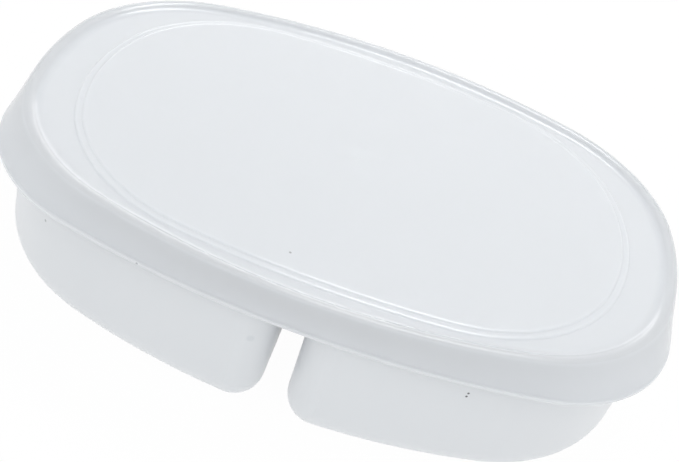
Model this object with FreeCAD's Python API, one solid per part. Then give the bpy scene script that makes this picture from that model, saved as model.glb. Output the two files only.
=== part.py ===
import FreeCAD, Part
import math
import os

# Divided food storage container, moulded in translucent plastic: an oval tray of two cups side by side,
# with an open channel between them, and a press-on oval lid. Millimetres, Z up. The origin is the middle of
# the footprint on the surface that the cups stand on. X runs along the length, Y across the width.

# Lid: the crest at the top of its skirt, the skirt's flare out to the lip, the raised rim and the stepped panel
CREST_HALF_LENGTH = 92.0
CREST_HALF_WIDTH = 64.4
CREST_CORNER_Y = 8.8
SIDE_BOW = 6.6
END_BOW = 0.9
SKIRT_HEIGHT = 8.5
END_FLARE = 2.2
SIDE_FLARE = 2.4
FOOT_CORNER_Y = 19.6
LIP_HEIGHT = 1.0
LIP_STEP = 0.3
CREST_ROUND = 0.45
RIM_FLAT = 2.0
RIM_SLOPE = 1.9
RIM_RISE = 1.4
END_BAND = 13.4
SIDE_BAND = 7.4
PANEL_CORNER_Y = 5.9
PANEL_SIDE_BOW = 2.0
STEP_RISE = 0.35
STEP_SLOPE = 0.3
LEDGE_WIDTH = 1.8
LID_WALL = 1.0
GATE_RADIUS = 1.3
GATE_DEPTH = 0.2

# Base: the cups, the channel between them, and the neck that the lid goes over
CUP_DEPTH = 35.8
DRAFT_DEG = 0.5
FLOOR_ROUND = 8.0
CHANNEL_WIDTH = 6.5
CUP_CORNER = 8.4
BASE_WALL = 1.2
NECK_TAPER = 0.45
NECK_CLEARANCE = 0.2
MOUTH_RING_RISE = 1.5
DIVIDER_GAP = 0.3

# Snap: a bead round the base's neck, and four lugs inside the skirt, drawn just clear of it
BEAD_RISE = 0.4
BEAD_HEIGHT = 1.6
BEAD_DROP = 2.4
LUG_CLEARANCE = 0.3
LUG_HEIGHT = 1.2
SIDE_LUG_LENGTH = 44.0
END_LUG_LENGTH = 30.0
RIM_CLEARANCE = 0.3

LIP_Z = CUP_DEPTH
CREST_Z = LIP_Z + SKIRT_HEIGHT
BAND_Z = CREST_Z - RIM_RISE
RIM_TOP_Z = CREST_Z - LID_WALL
LID_UNDER_Z = BAND_Z - LID_WALL
DIVIDER_Z = LID_UNDER_Z - DIVIDER_GAP
DRAFT = math.tan(math.radians(DRAFT_DEG))
BODY_INSET = LID_WALL + NECK_CLEARANCE - NECK_TAPER
FAR = 4 * CREST_HALF_LENGTH


def on_circle(centre, radius, angle, z):
    return FreeCAD.Vector(centre[0] + radius * math.cos(angle), centre[1] + radius * math.sin(angle), z)


def arc(centre, radius, start, end, z):
    middle = 0.5 * (start + end)
    return Part.Arc(on_circle(centre, radius, start, z), on_circle(centre, radius, middle, z),
                    on_circle(centre, radius, end, z)).toShape()


class Oval:
    """An oval of long side arcs, end arcs and corner arcs, tangent to each other. cy is how far the corner
    arcs' centres are from the middle line, and a bow is how far a side or an end bulges past its corner arcs."""

    def __init__(self, half_length, half_width, cy, side_bow=SIDE_BOW, end_bow=END_BOW):
        corner = half_width - side_bow - cy
        cx = half_length - end_bow - corner
        self.corner = corner
        self.centre = (cx, cy)
        self.side = (cx * cx + (half_width - cy) ** 2 - corner * corner) / (2 * side_bow)
        self.end = (cy * cy + (half_length - cx) ** 2 - corner * corner) / (2 * end_bow)
        self.side_centre = (0, half_width - self.side)
        self.end_centre = (half_length - self.end, 0)
        self.end_angle = math.atan2(cy, cx - self.end_centre[0])
        self.side_angle = math.atan2(cy - self.side_centre[1], cx)

    def wire(self, z, inset=0.0):
        """The closed outline at height z, moved inwards by inset."""
        cx, cy = self.centre
        turn = math.pi
        a, b = self.end_angle, self.side_angle
        side, end, corner = self.side - inset, self.end - inset, self.corner - inset
        ex, sy = self.end_centre[0], self.side_centre[1]
        edges = [
            arc((ex, 0), end, -a, a, z),
            arc((cx, cy), corner, a, b, z),
            arc((0, sy), side, b, turn - b, z),
            arc((-cx, cy), corner, turn - b, turn - a, z),
            arc((-ex, 0), end, turn - a, turn + a, z),
            arc((-cx, -cy), corner, turn + a, turn + b, z),
            arc((0, -sy), side, turn + b, 2 * turn - b, z),
            arc((cx, -cy), corner, 2 * turn - b, 2 * turn - a, z),
        ]
        return Part.Wire(edges)

    def cup_wire(self, z, inset=0.0, wall=0.0):
        """The outline of the right-hand cup: the oval's right half, cut off straight beside the channel."""
        cx, cy = self.centre
        turn = math.pi
        a, b = self.end_angle, self.side_angle
        move = inset + wall
        side, end, corner, small = (r - move for r in (self.side, self.end, self.corner, CUP_CORNER))
        ex, sy = self.end_centre[0], self.side_centre[1]
        small_x = CHANNEL_WIDTH / 2 + CUP_CORNER
        small_y = sy + math.sqrt((self.side - CUP_CORNER) ** 2 - small_x ** 2)
        c = math.atan2(small_y - sy, small_x)
        left = small_x - small
        straight = Part.LineSegment(FreeCAD.Vector(left, small_y, z), FreeCAD.Vector(left, -small_y, z))
        edges = [
            arc((ex, 0), end, -a, a, z),
            arc((cx, cy), corner, a, b, z),
            arc((0, sy), side, b, c, z),
            arc((small_x, small_y), small, c, turn, z),
            straight.toShape(),
            arc((small_x, -small_y), small, turn, 2 * turn - c, z),
            arc((0, -sy), side, 2 * turn - c, 2 * turn - b, z),
            arc((cx, -cy), corner, 2 * turn - b, 2 * turn - a, z),
        ]
        return Part.Wire(edges)


crest = Oval(CREST_HALF_LENGTH, CREST_HALF_WIDTH, CREST_CORNER_Y)
lip = Oval(CREST_HALF_LENGTH + END_FLARE, CREST_HALF_WIDTH + SIDE_FLARE, FOOT_CORNER_Y)
panel = Oval(CREST_HALF_LENGTH - END_BAND, CREST_HALF_WIDTH - SIDE_BAND, PANEL_CORNER_Y, PANEL_SIDE_BOW)
body = Oval(CREST_HALF_LENGTH - BODY_INSET, CREST_HALF_WIDTH - BODY_INSET, CREST_CORNER_Y)


def loft(*wires):
    return Part.makeLoft(list(wires), True, True)


def prism(wire, height):
    return Part.Face(wire).extrude(FreeCAD.Vector(0, 0, height))


def block(x0, x1, y0, y1, z0, z1):
    return Part.makeBox(x1 - x0, y1 - y0, z1 - z0, FreeCAD.Vector(x0, y0, z0))


def edges_at(shape, z, tolerance=1e-4):
    """The edges of shape that lie flat at height z."""
    return [e for e in shape.Edges
            if abs(e.BoundBox.ZMin - z) < tolerance and abs(e.BoundBox.ZMax - z) < tolerance]


def lid_outside():
    """Skirt, lip and crest as one full body, then the shallow dish inside the raised rim."""
    lip_top = LIP_Z + LIP_HEIGHT
    foot = prism(lip.wire(LIP_Z), LIP_HEIGHT)
    skirt = loft(lip.wire(lip_top, LIP_STEP), crest.wire(CREST_Z))
    skirt = skirt.makeFillet(CREST_ROUND, edges_at(skirt, CREST_Z))
    dish = loft(crest.wire(BAND_Z, RIM_FLAT + RIM_SLOPE), crest.wire(CREST_Z, RIM_FLAT))
    return foot.fuse(skirt).cut(dish)


def lid_panel():
    """The flat middle of the lid, two low steps above the band round it."""
    ledge_z = BAND_Z + STEP_RISE
    panel_z = ledge_z + STEP_RISE
    inner = STEP_SLOPE + LEDGE_WIDTH
    ledge = loft(panel.wire(BAND_Z - LID_WALL / 2), panel.wire(BAND_Z), panel.wire(ledge_z, STEP_SLOPE))
    middle = loft(panel.wire(BAND_Z, inner), panel.wire(ledge_z, inner), panel.wire(panel_z, inner + STEP_SLOPE))
    gate = Part.makeCylinder(GATE_RADIUS, STEP_RISE, FreeCAD.Vector(0, 0, panel_z - GATE_DEPTH))
    return ledge.fuse(middle).cut(gate)


def lid_inside():
    """The hollow under the lid: the skirt's room, a groove for the base's rim, and the raised panel's underside."""
    inner = LID_WALL + LIP_STEP
    groove_inner = BASE_WALL + RIM_CLEARANCE
    room = loft(lip.wire(LIP_Z, inner), lip.wire(LIP_Z + LIP_HEIGHT, inner), crest.wire(CREST_Z, LID_WALL))
    below = block(-FAR, FAR, -FAR, FAR, 0, RIM_TOP_Z)
    plug = prism(body.wire(LID_UNDER_Z, groove_inner), CREST_Z - LID_UNDER_Z)
    under_ledge = prism(panel.wire(LID_UNDER_Z, LID_WALL), STEP_RISE)
    under_panel = prism(panel.wire(LID_UNDER_Z, LID_WALL + LEDGE_WIDTH), 2 * STEP_RISE)
    return room.common(below).cut(plug).fuse(under_ledge).fuse(under_panel)


def snap_lugs():
    """Four low lugs inside the skirt, one in the middle of each side and end, just below the base's bead."""
    reach = LUG_CLEARANCE + BEAD_RISE - neck_inset(bead_z())
    top = bead_z() - BEAD_HEIGHT / 2 - LUG_CLEARANCE
    middle, foot = top - LUG_HEIGHT / 2, top - LUG_HEIGHT
    skin = loft(lip.wire(LIP_Z + LIP_HEIGHT, LIP_STEP + LID_WALL / 2), crest.wire(CREST_Z, LID_WALL / 2))
    hole = loft(body.wire(foot, -reach - LUG_HEIGHT / 2), body.wire(middle, -reach), body.wire(top, -reach))
    side = block(-SIDE_LUG_LENGTH / 2, SIDE_LUG_LENGTH / 2, -FAR, FAR, foot, top)
    end = block(-FAR, FAR, -END_LUG_LENGTH / 2, END_LUG_LENGTH / 2, foot, top)
    return skin.common(side.fuse(end)).cut(hole)


def make_lid():
    lid = lid_outside().fuse(lid_panel()).cut(lid_inside())
    return lid.fuse(snap_lugs()).removeSplitter()


def neck_inset(z):
    """How far the base's neck stands inside the body's outline at height z."""
    return NECK_TAPER * (z - LIP_Z) / (RIM_TOP_Z - LIP_Z)


def bead_z():
    return RIM_TOP_Z - BEAD_DROP


def cup(wall, top):
    """One cup as a full body: drafted sides and a rounded floor, moved inwards by a wall."""
    drop = DRAFT * CUP_DEPTH
    solid = loft(body.cup_wire(wall, drop, wall), body.cup_wire(LIP_Z, 0, wall))
    floor_round = min(FLOOR_ROUND, CUP_CORNER - drop)
    solid = solid.makeFillet(floor_round - wall, edges_at(solid, wall))
    if top > LIP_Z:
        solid = solid.fuse(prism(body.cup_wire(LIP_Z, 0, wall), top - LIP_Z))
    return solid


def both_ways(solid):
    return solid.fuse(solid.mirror(FreeCAD.Vector(0, 0, 0), FreeCAD.Vector(1, 0, 0)))


def base_neck():
    """The part under the lid's skirt: a tapered oval with the snap bead round it."""
    neck = loft(body.wire(LIP_Z), body.wire(RIM_TOP_Z, NECK_TAPER))
    half = BEAD_HEIGHT / 2
    low, middle, high = bead_z() - half, bead_z(), bead_z() + half
    bead = loft(body.wire(low, neck_inset(low)), body.wire(middle, neck_inset(middle) - BEAD_RISE),
                body.wire(high, neck_inset(high)))
    return neck.fuse(bead)


def channel():
    """What the open channel takes out of the neck, closed at its ends by a ring hidden behind the skirt."""
    half = CHANNEL_WIDTH / 2
    mouth = block(-half, half, -FAR, FAR, LIP_Z, LIP_Z + MOUTH_RING_RISE)
    roof = DIVIDER_Z - BASE_WALL
    inside = block(-half, half, -FAR, FAR, LIP_Z, roof)
    return mouth.fuse(inside.common(prism(body.wire(LIP_Z, BASE_WALL), roof - LIP_Z)))


def make_base():
    outside = both_ways(cup(0, LIP_Z)).fuse(base_neck())
    rooms = both_ways(cup(BASE_WALL, CREST_Z))
    over_divider = prism(body.wire(DIVIDER_Z, BASE_WALL), CREST_Z - DIVIDER_Z)
    base = outside.cut(rooms).cut(over_divider).cut(channel())
    return base.removeSplitter()


def save(name, shape):
    solids = shape.Solids
    print(name, "valid", shape.isValid(), "solids", len(solids), "volume", round(shape.Volume, 1),
          "box", [round(v, 3) for v in (shape.BoundBox.XLength, shape.BoundBox.YLength, shape.BoundBox.ZLength)])
    shape = solids[0] if len(solids) == 1 else shape
    shape.exportStep("parts/" + name + ".step")


os.makedirs("parts", exist_ok=True)
save("lid", make_lid())
save("base", make_base())
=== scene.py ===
import math

import bpy
from mathutils import Matrix, Vector


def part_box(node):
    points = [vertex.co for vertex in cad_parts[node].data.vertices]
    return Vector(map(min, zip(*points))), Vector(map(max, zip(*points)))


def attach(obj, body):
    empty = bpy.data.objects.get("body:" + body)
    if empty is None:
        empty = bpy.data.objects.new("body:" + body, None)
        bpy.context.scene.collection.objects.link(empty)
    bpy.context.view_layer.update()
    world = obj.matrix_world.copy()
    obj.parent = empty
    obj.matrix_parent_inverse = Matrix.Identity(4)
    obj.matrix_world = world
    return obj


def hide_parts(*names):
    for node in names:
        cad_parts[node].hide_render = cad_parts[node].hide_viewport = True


# Divided food storage container in milky translucent plastic. The lid is modelled here as one swept shell
# with soft edges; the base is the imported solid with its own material. Lengths are in millimetres until MM is
# applied.
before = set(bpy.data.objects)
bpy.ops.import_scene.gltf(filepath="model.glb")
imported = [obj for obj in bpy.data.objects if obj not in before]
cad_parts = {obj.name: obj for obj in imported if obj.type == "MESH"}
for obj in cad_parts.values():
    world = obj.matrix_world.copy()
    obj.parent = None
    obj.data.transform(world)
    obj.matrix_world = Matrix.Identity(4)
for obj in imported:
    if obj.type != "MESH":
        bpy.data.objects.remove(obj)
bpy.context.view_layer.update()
MM = 0.001

LID_LOW, LID_HIGH = (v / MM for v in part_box("lid"))

# Lid outlines: the lip at the skirt's foot, the crest at its top and the stepped panel
LIP_HALF_LENGTH, LIP_HALF_WIDTH = LID_HIGH.x, LID_HIGH.y
END_FLARE, SIDE_FLARE = 2.2, 2.4
CREST_CORNER_Y, FOOT_CORNER_Y, PANEL_CORNER_Y = 8.8, 19.6, 5.9
SIDE_BOW, END_BOW, PANEL_SIDE_BOW = 6.6, 0.9, 2.0
END_BAND, SIDE_BAND = 13.4, 7.4

# Lid heights and wall
RIM_RISE, STEP_HEIGHT, WALL = 1.4, 0.35, 1.0
CREST_Z, LIP_Z = LID_HIGH.z, LID_LOW.z
BAND_Z = CREST_Z - RIM_RISE
LEDGE_Z = BAND_Z + STEP_HEIGHT
PANEL_Z = LEDGE_Z + STEP_HEIGHT
RIM_TOP_Z = CREST_Z - WALL
UNDER_BAND_Z = BAND_Z - WALL

# Straight parts in each eased corner of a profile, and the run of its flat ends, which only aims them
CORNER_BENDS = 5
FLAT_RUN = 5.0

# Panel steps, and how far a step's edge and foot are eased, on the flat side and on the sloping side
STEP_SPACING, STEP_SLOPE, LEDGE_WIDTH = 2.0, 0.5, 1.8
SOFT_EDGE = (0.7, 0.3)
SHARP_FOOT = (0.1, 0.15)

# Parts that the flat panel is drawn in, and how far its underside is drawn past the last step
PANEL_PARTS = 10
UNDER_RUN = 4.0

# Gate mark: each ring's share of the radius and of the depth, from the middle out
GATE_RADIUS, GATE_DEPTH = 1.0, 0.1
GATE_PROFILE = ((0.08, 0.4), (0.3, 0.6), (0.45, 1.0), (0.55, 1.0), (0.85, 0.4), (1.0, 0.0))

# Raised rim, its eased foot and top, and its rounded crest
RIM_FLAT, RIM_SLOPE = 2.0, 1.9
RIM_FOOT_EASE, RIM_TOP_EASE = (1.6, 1.1), (1.1, 0.8)
CREST_ROUND, CREST_BENDS = 1.0, 8

# Skirt and lip: rows as shares of the way down, and the lip's rounded edges as (inset, gap to its face)
SKIRT_LENGTH = 7.8
SKIRT_ROWS = (0.25, 0.35, 0.5, 0.65, 0.8, 0.93, 0.985)
LIP_HEIGHT, LIP_STEP = 1.0, 0.3
LIP_SHOULDER_Z = LIP_Z + LIP_HEIGHT
LIP_TOP_EDGE = ((0.22, 0.0), (0.08, 0.03), (0.0, 0.15))
LIP_FOOT_EDGE = ((0.0, 0.2), (0.06, 0.06), (0.2, 0.0))

# Inside of the skirt: snap lugs, whose heights are shares of the way up, and the groove for the base's rim
SKIRT_INSET = WALL + LIP_STEP
SIDE_LUG_LENGTH, END_LUG_LENGTH, LUG_INSET = 44.0, 30.0, 0.356
LUG_FOOT, LUG_LOW, LUG_PEAK, LUG_HIGH, LUG_TOP = 0.22, 0.24, 0.32, 0.4, 0.41
LUG_SLANT = 0.6
UPPER_SKIRT_ROWS = (0.6, 0.84)
GROOVE_WIDTH = 2.25
INNER_EDGE, GROOVE_EDGE = 0.2, 0.15

# How much painted shade the lid's colour gets, standing in for less light passing through where its walls lie
# together: rising over the rim's slope, full on its top, less down the single skirt
SLOPE_ROWS, TOP_ROWS = 12, 5
SKIRT_PAINTED_SHADE = 0.85

QUADRANT_STEPS = 64


class Oval:
    """Side, end and corner arcs, tangent to each other, sampled by the direction of the outward normal."""

    def __init__(self, half_length, half_width, cy, side_bow=SIDE_BOW, end_bow=END_BOW):
        corner = half_width - side_bow - cy
        cx = half_length - end_bow - corner
        side = (cx * cx + (half_width - cy) ** 2 - corner * corner) / (2 * side_bow)
        end = (cy * cy + (half_length - cx) ** 2 - corner * corner) / (2 * end_bow)
        self.arcs = [((half_length - end, 0), end), ((cx, cy), corner), ((0, half_width - side), side)]
        self.turns = [math.atan2(cy, cx - half_length + end), math.atan2(cy - half_width + side, cx)]

    def point(self, angle, inset):
        """The point whose normal has this angle, in the first quadrant, moved inwards by inset."""
        piece = sum(angle > turn for turn in self.turns)
        (cx, cy), radius = self.arcs[piece]
        return cx + (radius - inset) * math.cos(angle), cy + (radius - inset) * math.sin(angle)

    def even_angles(self, count):
        """Angles over a quadrant that stand at even steps along the outline."""
        limits = [0.0, *self.turns, math.pi / 2]
        lengths = [self.arcs[i][1] * (limits[i + 1] - limits[i]) for i in range(3)]
        angles = []
        for k in range(count):
            along = (k + 0.5) / count * sum(lengths)
            for i in range(3):
                if along <= lengths[i] or i == 2:
                    angles.append(limits[i] + along / self.arcs[i][1])
                    break
                along -= lengths[i]
        return angles


crest = Oval(LIP_HALF_LENGTH - END_FLARE, LIP_HALF_WIDTH - SIDE_FLARE, CREST_CORNER_Y)
lip = Oval(LIP_HALF_LENGTH, LIP_HALF_WIDTH, FOOT_CORNER_Y)
panel = Oval(LIP_HALF_LENGTH - END_FLARE - END_BAND, LIP_HALF_WIDTH - SIDE_FLARE - SIDE_BAND,
             PANEL_CORNER_Y, PANEL_SIDE_BOW)
ANGLES = crest.even_angles(QUADRANT_STEPS)


def ring(oval, inset, z):
    """One closed row of points round the oval."""
    quarter = [oval.point(a, inset) for a in ANGLES]
    back = quarter[::-1]
    half = quarter + [(-x, y) for x, y in back]
    return [(x, y, z) for x, y in half + [(-x, -y) for x, y in half]]


def between(low, high, share):
    """The row that lies a share of the way from one row to another."""
    return [tuple(a + (b - a) * share for a, b in zip(p, q)) for p, q in zip(low, high)]


def circle(radius, z):
    """One round row, with its points in the directions of the panel's."""
    turns = [math.atan2(y, x) for x, y, _ in ring(panel, 0, 0)]
    return [(radius * math.cos(turn), radius * math.sin(turn), z) for turn in turns]


def rounded(oval, path):
    """Rows along a profile of (inset, height, reach in, reach out), each corner eased over its reaches."""
    rows = []
    for before, here, after in zip(path, path[1:], path[2:]):
        inset, z, reach_in, reach_out = here
        back, on = math.dist(before[:2], here[:2]), math.dist(after[:2], here[:2])
        start = [here[k] + (before[k] - here[k]) * reach_in / back for k in (0, 1)]
        end = [here[k] + (after[k] - here[k]) * reach_out / on for k in (0, 1)]
        for step in range(CORNER_BENDS + 1):
            u = step / CORNER_BENDS
            w0, w1, w2 = (1 - u) ** 2, 2 * u * (1 - u), u * u
            rows.append(ring(oval, start[0] * w0 + inset * w1 + end[0] * w2,
                             start[1] * w0 + z * w1 + end[1] * w2))
    return rows


def top_rows():
    """From the gate mark out over the panel and its two steps to the flat band."""
    high, foot = STEP_SLOPE / 2, -STEP_SLOPE / 2
    path = [(STEP_SPACING + FLAT_RUN, PANEL_Z, 0, 0), (STEP_SPACING + high, PANEL_Z, *SOFT_EDGE),
            (STEP_SPACING + foot, LEDGE_Z, *SHARP_FOOT), (high, LEDGE_Z, *SOFT_EDGE),
            (foot, BAND_Z, *SHARP_FOOT), (-FLAT_RUN, BAND_Z, 0, 0)]
    steps = rounded(panel, path)
    gate = [circle(GATE_RADIUS * out, PANEL_Z - GATE_DEPTH * down) for out, down in GATE_PROFILE]
    flat = [between(gate[-1], steps[0], k / PANEL_PARTS) for k in range(1, PANEL_PARTS)]
    return gate + flat + steps


def rim_rows():
    """Up the inside of the raised rim, over its rounded top and down the flared skirt to the lip."""
    low = RIM_FLAT + RIM_SLOPE
    path = [(low + FLAT_RUN, BAND_Z, 0, 0), (low, BAND_Z, *RIM_FOOT_EASE),
            (RIM_FLAT, CREST_Z, *RIM_TOP_EASE), (0.0, CREST_Z, 0, 0)]
    flat, top = ring(crest, CREST_ROUND, CREST_Z), ring(crest, 0.0, CREST_Z)
    foot = ring(lip, LIP_STEP, LIP_SHOULDER_Z)
    down = between(top, foot, CREST_ROUND / SKIRT_LENGTH)
    rows = rounded(crest, path)
    for k in range(CREST_BENDS + 1):
        share = k / CREST_BENDS
        rows.append(between(between(flat, top, share), between(top, down, share), share))
    rows += [between(top, foot, share) for share in SKIRT_ROWS]
    rows += [ring(lip, inset, LIP_SHOULDER_Z - below) for inset, below in LIP_TOP_EDGE]
    return rows + [ring(lip, inset, LIP_Z + above) for inset, above in LIP_FOOT_EDGE]


def rim_painted_shade(row):
    """How much painted shade each of the rim's rows gets."""
    return min(row / SLOPE_ROWS, 1.0) if row < SLOPE_ROWS + TOP_ROWS else SKIRT_PAINTED_SHADE


def lug_row(foot, top, share, inset):
    """A row up the skirt's inside that steps in to the snap lugs, one in the middle of each side and end."""
    skin = between(foot, top, share)
    lug = ring(crest, inset, skin[0][2])
    return [q if abs(p[0]) < SIDE_LUG_LENGTH / 2 or abs(p[1]) < END_LUG_LENGTH / 2 else p
            for p, q in zip(skin, lug)]


def under_rows():
    """Up inside the skirt, round the groove for the base's rim and in under the panel."""
    foot, top = ring(lip, SKIRT_INSET, LIP_SHOULDER_Z), ring(crest, WALL, CREST_Z)
    rows = [ring(lip, SKIRT_INSET - INNER_EDGE, LIP_Z), ring(lip, SKIRT_INSET, LIP_Z + INNER_EDGE), foot]
    rows += [between(foot, top, LUG_FOOT), lug_row(foot, top, LUG_LOW, LUG_INSET - LUG_SLANT)]
    rows += [lug_row(foot, top, share, LUG_INSET) for share in (LUG_PEAK, LUG_HIGH)]
    rows += [between(foot, top, share) for share in (LUG_TOP, *UPPER_SKIRT_ROWS)]
    rows += [ring(crest, WALL + INNER_EDGE, RIM_TOP_Z), ring(crest, GROOVE_WIDTH, RIM_TOP_Z)]
    rows += [ring(crest, GROOVE_WIDTH, UNDER_BAND_Z + GROOVE_EDGE),
             ring(crest, GROOVE_WIDTH + GROOVE_EDGE, UNDER_BAND_Z)]
    for level, inset in enumerate((WALL, WALL + LEDGE_WIDTH)):
        z = UNDER_BAND_Z + STEP_HEIGHT * level
        rows += [ring(panel, inset, z), ring(panel, inset, z + STEP_HEIGHT)]
    return rows + [ring(panel, WALL + LEDGE_WIDTH + UNDER_RUN, UNDER_BAND_Z + STEP_HEIGHT * 2)]


def swept(name, rows, painted_shades):
    """A closed skin over rows of points, its first and last rows filled, with an amount of painted shade for
    each row.
    """
    count = len(rows[0])
    verts = [tuple(c * MM for c in p) for row in rows for p in row]
    last = (len(rows) - 1) * count
    faces = [(r + i, r + count + i, r + count + (i + 1) % count, r + (i + 1) % count)
             for r in range(0, last, count) for i in range(count)]
    faces.append(tuple(range(count)))
    faces.append(tuple(range(last + count - 1, last - 1, -1)))
    mesh = bpy.data.meshes.new(name)
    mesh.from_pydata(verts, [], faces)
    mesh.validate()
    mesh.shade_smooth()
    # Painted shade: each row's amount, stored for the material to read
    painted_shade_attribute = mesh.attributes.new("painted_shade_amount", "FLOAT", "POINT")
    painted_shade_attribute.data.foreach_set("value", [d for d in painted_shades for _ in range(count)])
    piece = bpy.data.objects.new(name, mesh)
    bpy.context.collection.objects.link(piece)
    return piece


# Plastics: a darker second colour of painted shade where the lid's walls lie together, standing in for less
# light passing through, how far light travels inside in metres, the surface's roughness, and specks of dirt as
# (place, radius, grey)
LID_COLOUR, LID_PAINTED_SHADE_COLOUR = (0.785, 0.809, 0.845), (0.63, 0.643, 0.66)
LID_REACH, LID_ROUGHNESS = 0.002, 0.18
LID_SPECKS = [((-40.2, -63.6, 36.2), 0.4, 0.4), ((-6.9, -48.7, 43.6), 0.45, 0.45)]
BASE_COLOUR = (0.764, 0.78, 0.798)
BASE_REACH, BASE_ROUGHNESS = 0.001, 0.35
BASE_SPECKS = [((45.35, -57.93, 27.8), 0.4, 0.12), ((45.46, -57.91, 28.95), 0.4, 0.12),
               ((-69.55, -48.32, 25.1), 0.5, 0.45), ((-8.8, -62.7, 25.2), 1.3, 0.72)]
SPECK_CORE = 0.5
SPECK_TINT = (0.97, 1.0, 1.03)
CLOUD_SHADE = 0.98
CLOUD_SIZE = {"Scale": 18.0, "Detail": 3.0, "Roughness": 0.5}
SKIN_SIZE = {"Scale": 900.0, "Detail": 2.0}
SKIN_RELIEF = {"Strength": 0.05, "Distance": 0.0001}
PLASTIC_IOR = 1.49


def node(tree, kind, sockets, **settings):
    """A new node with the sockets and settings given."""
    made = tree.nodes.new(kind)
    for name, value in settings.items():
        setattr(made, name, value)
    for name, value in sockets.items():
        made.inputs[name].default_value = value
    return made


def ranged(tree, value, source, target=(0.0, 1.0)):
    """A value carried from one range to another and held inside it."""
    spread = node(tree, "ShaderNodeMapRange", {"From Min": source[0], "From Max": source[1],
                                               "To Min": target[0], "To Max": target[1]})
    tree.links.new(value, spread.inputs["Value"])
    return spread.outputs["Result"]


def blend(tree, share, first, second):
    """A colour between two, each given as three numbers or as a socket."""
    mix = node(tree, "ShaderNodeMix", {}, data_type="RGBA")
    tree.links.new(share, mix.inputs["Factor"])
    for socket, colour in ((mix.inputs["A"], first), (mix.inputs["B"], second)):
        if isinstance(colour, bpy.types.NodeSocket):
            tree.links.new(colour, socket)
        else:
            socket.default_value = (*colour, 1)
    return mix.outputs["Result"]


def clouded(tree, clouds, colour):
    """A colour that the flow clouds darken a little."""
    return blend(tree, clouds, [c * CLOUD_SHADE for c in colour], colour)


def spotted(tree, place, colour, specks):
    """A colour with specks of dirt over it."""
    for spot, radius, grey in specks:
        away = node(tree, "ShaderNodeVectorMath", {1: [c * MM for c in spot]}, operation="DISTANCE")
        tree.links.new(place, away.inputs[0])
        clear = ranged(tree, away.outputs["Value"], (radius * SPECK_CORE * MM, radius * MM))
        colour = blend(tree, clear, [grey * c for c in SPECK_TINT], colour)
    return colour


def milky_plastic(name, colour, painted_shade_colour, reach, roughness, specks):
    """Translucent moulded polypropylene with faint flow clouds, a satin skin and, where a second colour is
    given, painted shade.
    """
    material = bpy.data.materials.new(name)
    material.use_nodes = True
    tree = material.node_tree
    shader = tree.nodes["Principled BSDF"]
    link = tree.links.new
    place = tree.nodes.new("ShaderNodeTexCoord").outputs["Object"]
    clouds = node(tree, "ShaderNodeTexNoise", CLOUD_SIZE)
    link(place, clouds.inputs["Vector"])
    body = clouded(tree, clouds.outputs["Fac"], colour)
    if painted_shade_colour:
        # Painted shade: the darker second colour mixed in by each row's painted shade amount
        painted_shade_attribute = node(tree, "ShaderNodeAttribute", {}, attribute_name="painted_shade_amount")
        body = blend(tree, painted_shade_attribute.outputs["Fac"], body, clouded(tree, clouds.outputs["Fac"], painted_shade_colour))
    link(spotted(tree, place, body, specks), shader.inputs["Base Color"])
    skin = node(tree, "ShaderNodeTexNoise", SKIN_SIZE)
    link(place, skin.inputs["Vector"])
    bump = node(tree, "ShaderNodeBump", SKIN_RELIEF)
    link(skin.outputs["Fac"], bump.inputs["Height"])
    link(bump.outputs["Normal"], shader.inputs["Normal"])
    shader.inputs["Roughness"].default_value = roughness
    shader.inputs["IOR"].default_value = PLASTIC_IOR
    shader.inputs["Subsurface Weight"].default_value = 1.0
    shader.inputs["Subsurface Radius"].default_value = (1.0, 1.0, 1.0)
    shader.inputs["Subsurface Scale"].default_value = reach
    return material


# Camera, placed by fitting the outlines of the lid and the cups to the photograph
LENS_PIXELS, IMAGE_WIDTH = 1147.2, 679.0
ELEVATION, AZIMUTH, ROLL = math.radians(38.064), math.radians(4.352), math.radians(17.447)
AIM = Vector((-11.33, -15.57, 25.57))
DISTANCE = 317.1
SHIFT = (0.0719, -0.0086)
SENSOR_WIDTH = 36.0
CLIP_NEAR, CLIP_FAR = 0.01, 20.0


def make_camera():
    data = bpy.data.cameras.new("camera")
    data.sensor_width = SENSOR_WIDTH
    data.lens = LENS_PIXELS * SENSOR_WIDTH / IMAGE_WIDTH
    data.shift_x, data.shift_y = SHIFT
    data.clip_start, data.clip_end = CLIP_NEAR, CLIP_FAR
    camera = bpy.data.objects.new("camera", data)
    bpy.context.collection.objects.link(camera)
    back = Vector((math.sin(AZIMUTH) * math.cos(ELEVATION), -math.cos(AZIMUTH) * math.cos(ELEVATION),
                   math.sin(ELEVATION)))
    turn = (-back).to_track_quat("-Z", "Y").to_matrix() @ Matrix.Rotation(ROLL, 3, "Z")
    camera.matrix_world = Matrix.Translation((AIM + back * DISTANCE) * MM) @ turn.to_4x4()
    bpy.context.scene.camera = camera


# Light levels of the tent, which is brighter in front, and of the light table that the part stands on, and
# how white the table looks where it is seen. Places and sizes from here on are in metres.
BACK_LIGHT, FRONT_LIGHT = 0.68, 1.02
TENT_FRONT = (0.0, -0.95, 0.3)
TENT_SPREAD = (-0.5, 0.8)
TENT_TINT = (0.975, 0.99, 1.0)
TABLE_GLOW, FLOOR_WHITE = 0.5, 0.97
TABLE_COLOUR = (0.98, 0.98, 0.98)
FLOOR_HALF_SIZE = 6.0
WHITE = (1, 1, 1)
LIGHT_AIM = Vector((0, 0, 0.04))


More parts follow.
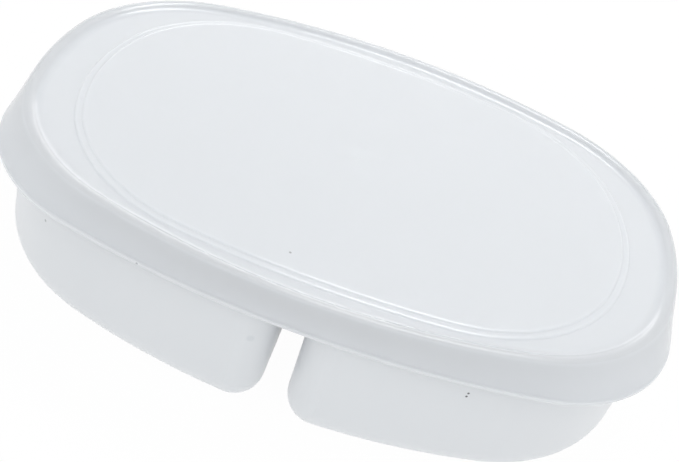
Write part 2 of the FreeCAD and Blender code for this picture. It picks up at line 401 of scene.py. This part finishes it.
def seen_directly(tree):
    """1 for what the camera, a reflection or a clear piece sees, 0 for what only lights the part."""
    path = tree.nodes.new("ShaderNodeLightPath")
    seen = path.outputs["Is Camera Ray"]
    for name in ("Is Glossy Ray", "Is Transmission Ray"):
        either = node(tree, "ShaderNodeMath", {}, operation="MAXIMUM")
        tree.links.new(seen, either.inputs[0])
        tree.links.new(path.outputs[name], either.inputs[1])
        seen = either.outputs["Value"]
    return seen


def mix_to_output(tree, share, first, second, output):
    """Sends the first shader where the share is 0, and the second where it is 1, to the output."""
    mix = tree.nodes.new("ShaderNodeMixShader")
    tree.links.new(share, mix.inputs["Fac"])
    tree.links.new(first, mix.inputs[1])
    tree.links.new(second, mix.inputs[2])
    tree.links.new(mix.outputs["Shader"], tree.nodes[output].inputs["Surface"])


def make_floor():
    mesh = bpy.data.meshes.new("floor")
    size = FLOOR_HALF_SIZE
    corners = [(-size, -size, 0), (size, -size, 0), (size, size, 0), (-size, size, 0)]
    mesh.from_pydata(corners, [], [(0, 1, 2, 3)])
    floor = bpy.data.objects.new("floor", mesh)
    bpy.context.collection.objects.link(floor)
    material = bpy.data.materials.new("floor_white")
    material.use_nodes = True
    tree = material.node_tree
    tree.nodes.remove(tree.nodes["Principled BSDF"])
    paper = node(tree, "ShaderNodeBsdfDiffuse", {"Color": (*TABLE_COLOUR, 1)})
    white = tree.nodes.new("ShaderNodeEmission")
    amount = ranged(tree, seen_directly(tree), (0.0, 1.0), (TABLE_GLOW, FLOOR_WHITE))
    mix_to_output(tree, amount, paper.outputs["BSDF"], white.outputs["Emission"], "Material Output")
    mesh.materials.append(material)


def make_world():
    """A light tent, a little brighter in front of the part, and plain white where it is seen."""
    world = bpy.data.worlds.new("studio")
    bpy.context.scene.world = world
    world.use_nodes = True
    tree = world.node_tree
    light = tree.nodes["Background"]
    light.inputs["Color"].default_value = (*TENT_TINT, 1)
    direction = tree.nodes.new("ShaderNodeTexCoord")
    front = node(tree, "ShaderNodeVectorMath", {1: TENT_FRONT}, operation="DOT_PRODUCT")
    tree.links.new(direction.outputs["Generated"], front.inputs[0])
    level = ranged(tree, front.outputs["Value"], TENT_SPREAD, (BACK_LIGHT, FRONT_LIGHT))
    tree.links.new(level, light.inputs["Strength"])
    white = node(tree, "ShaderNodeBackground", {"Color": (*WHITE, 1)})
    mix_to_output(tree, seen_directly(tree), light.outputs["Background"], white.outputs["Background"],
                  "World Output")


def area_light(name, place, size, power):
    data = bpy.data.lights.new(name, "AREA")
    data.shape = "RECTANGLE"
    (data.size, data.size_y), data.energy, data.color = size, power, WHITE
    light = bpy.data.objects.new(name, data)
    light.location = place
    light.rotation_euler = (LIGHT_AIM - Vector(place)).to_track_quat("-Z", "Y").to_euler()
    bpy.context.collection.objects.link(light)


top, rim, under = top_rows(), rim_rows(), under_rows()
# Painted shade amounts: none on the top, per row on the rim, full on the underside
painted_shades = [0.0] * len(top) + [rim_painted_shade(k) for k in range(len(rim))] + [1.0] * len(under)
lid = swept("lid_shell", top + rim + under, painted_shades)
lid.data.materials.append(milky_plastic("lid_milky_plastic", LID_COLOUR, LID_PAINTED_SHADE_COLOUR, LID_REACH,
                                        LID_ROUGHNESS, LID_SPECKS))
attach(lid, "lid")
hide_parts("lid")

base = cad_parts["base"]
base_plastic = milky_plastic("base_milky_plastic", BASE_COLOUR, None, BASE_REACH, BASE_ROUGHNESS, BASE_SPECKS)
for entry in base.material_slots:
    entry.material = base_plastic

make_camera()
make_floor()
make_world()
area_light("low_strip", place=(-0.17, 0.8, 0.24), size=(0.46, 0.16), power=0.5)
area_light("softbox", place=(0.1, 0.4, 0.78), size=(0.32, 0.22), power=1.8)

bpy.context.scene.view_settings.view_transform = "Standard"
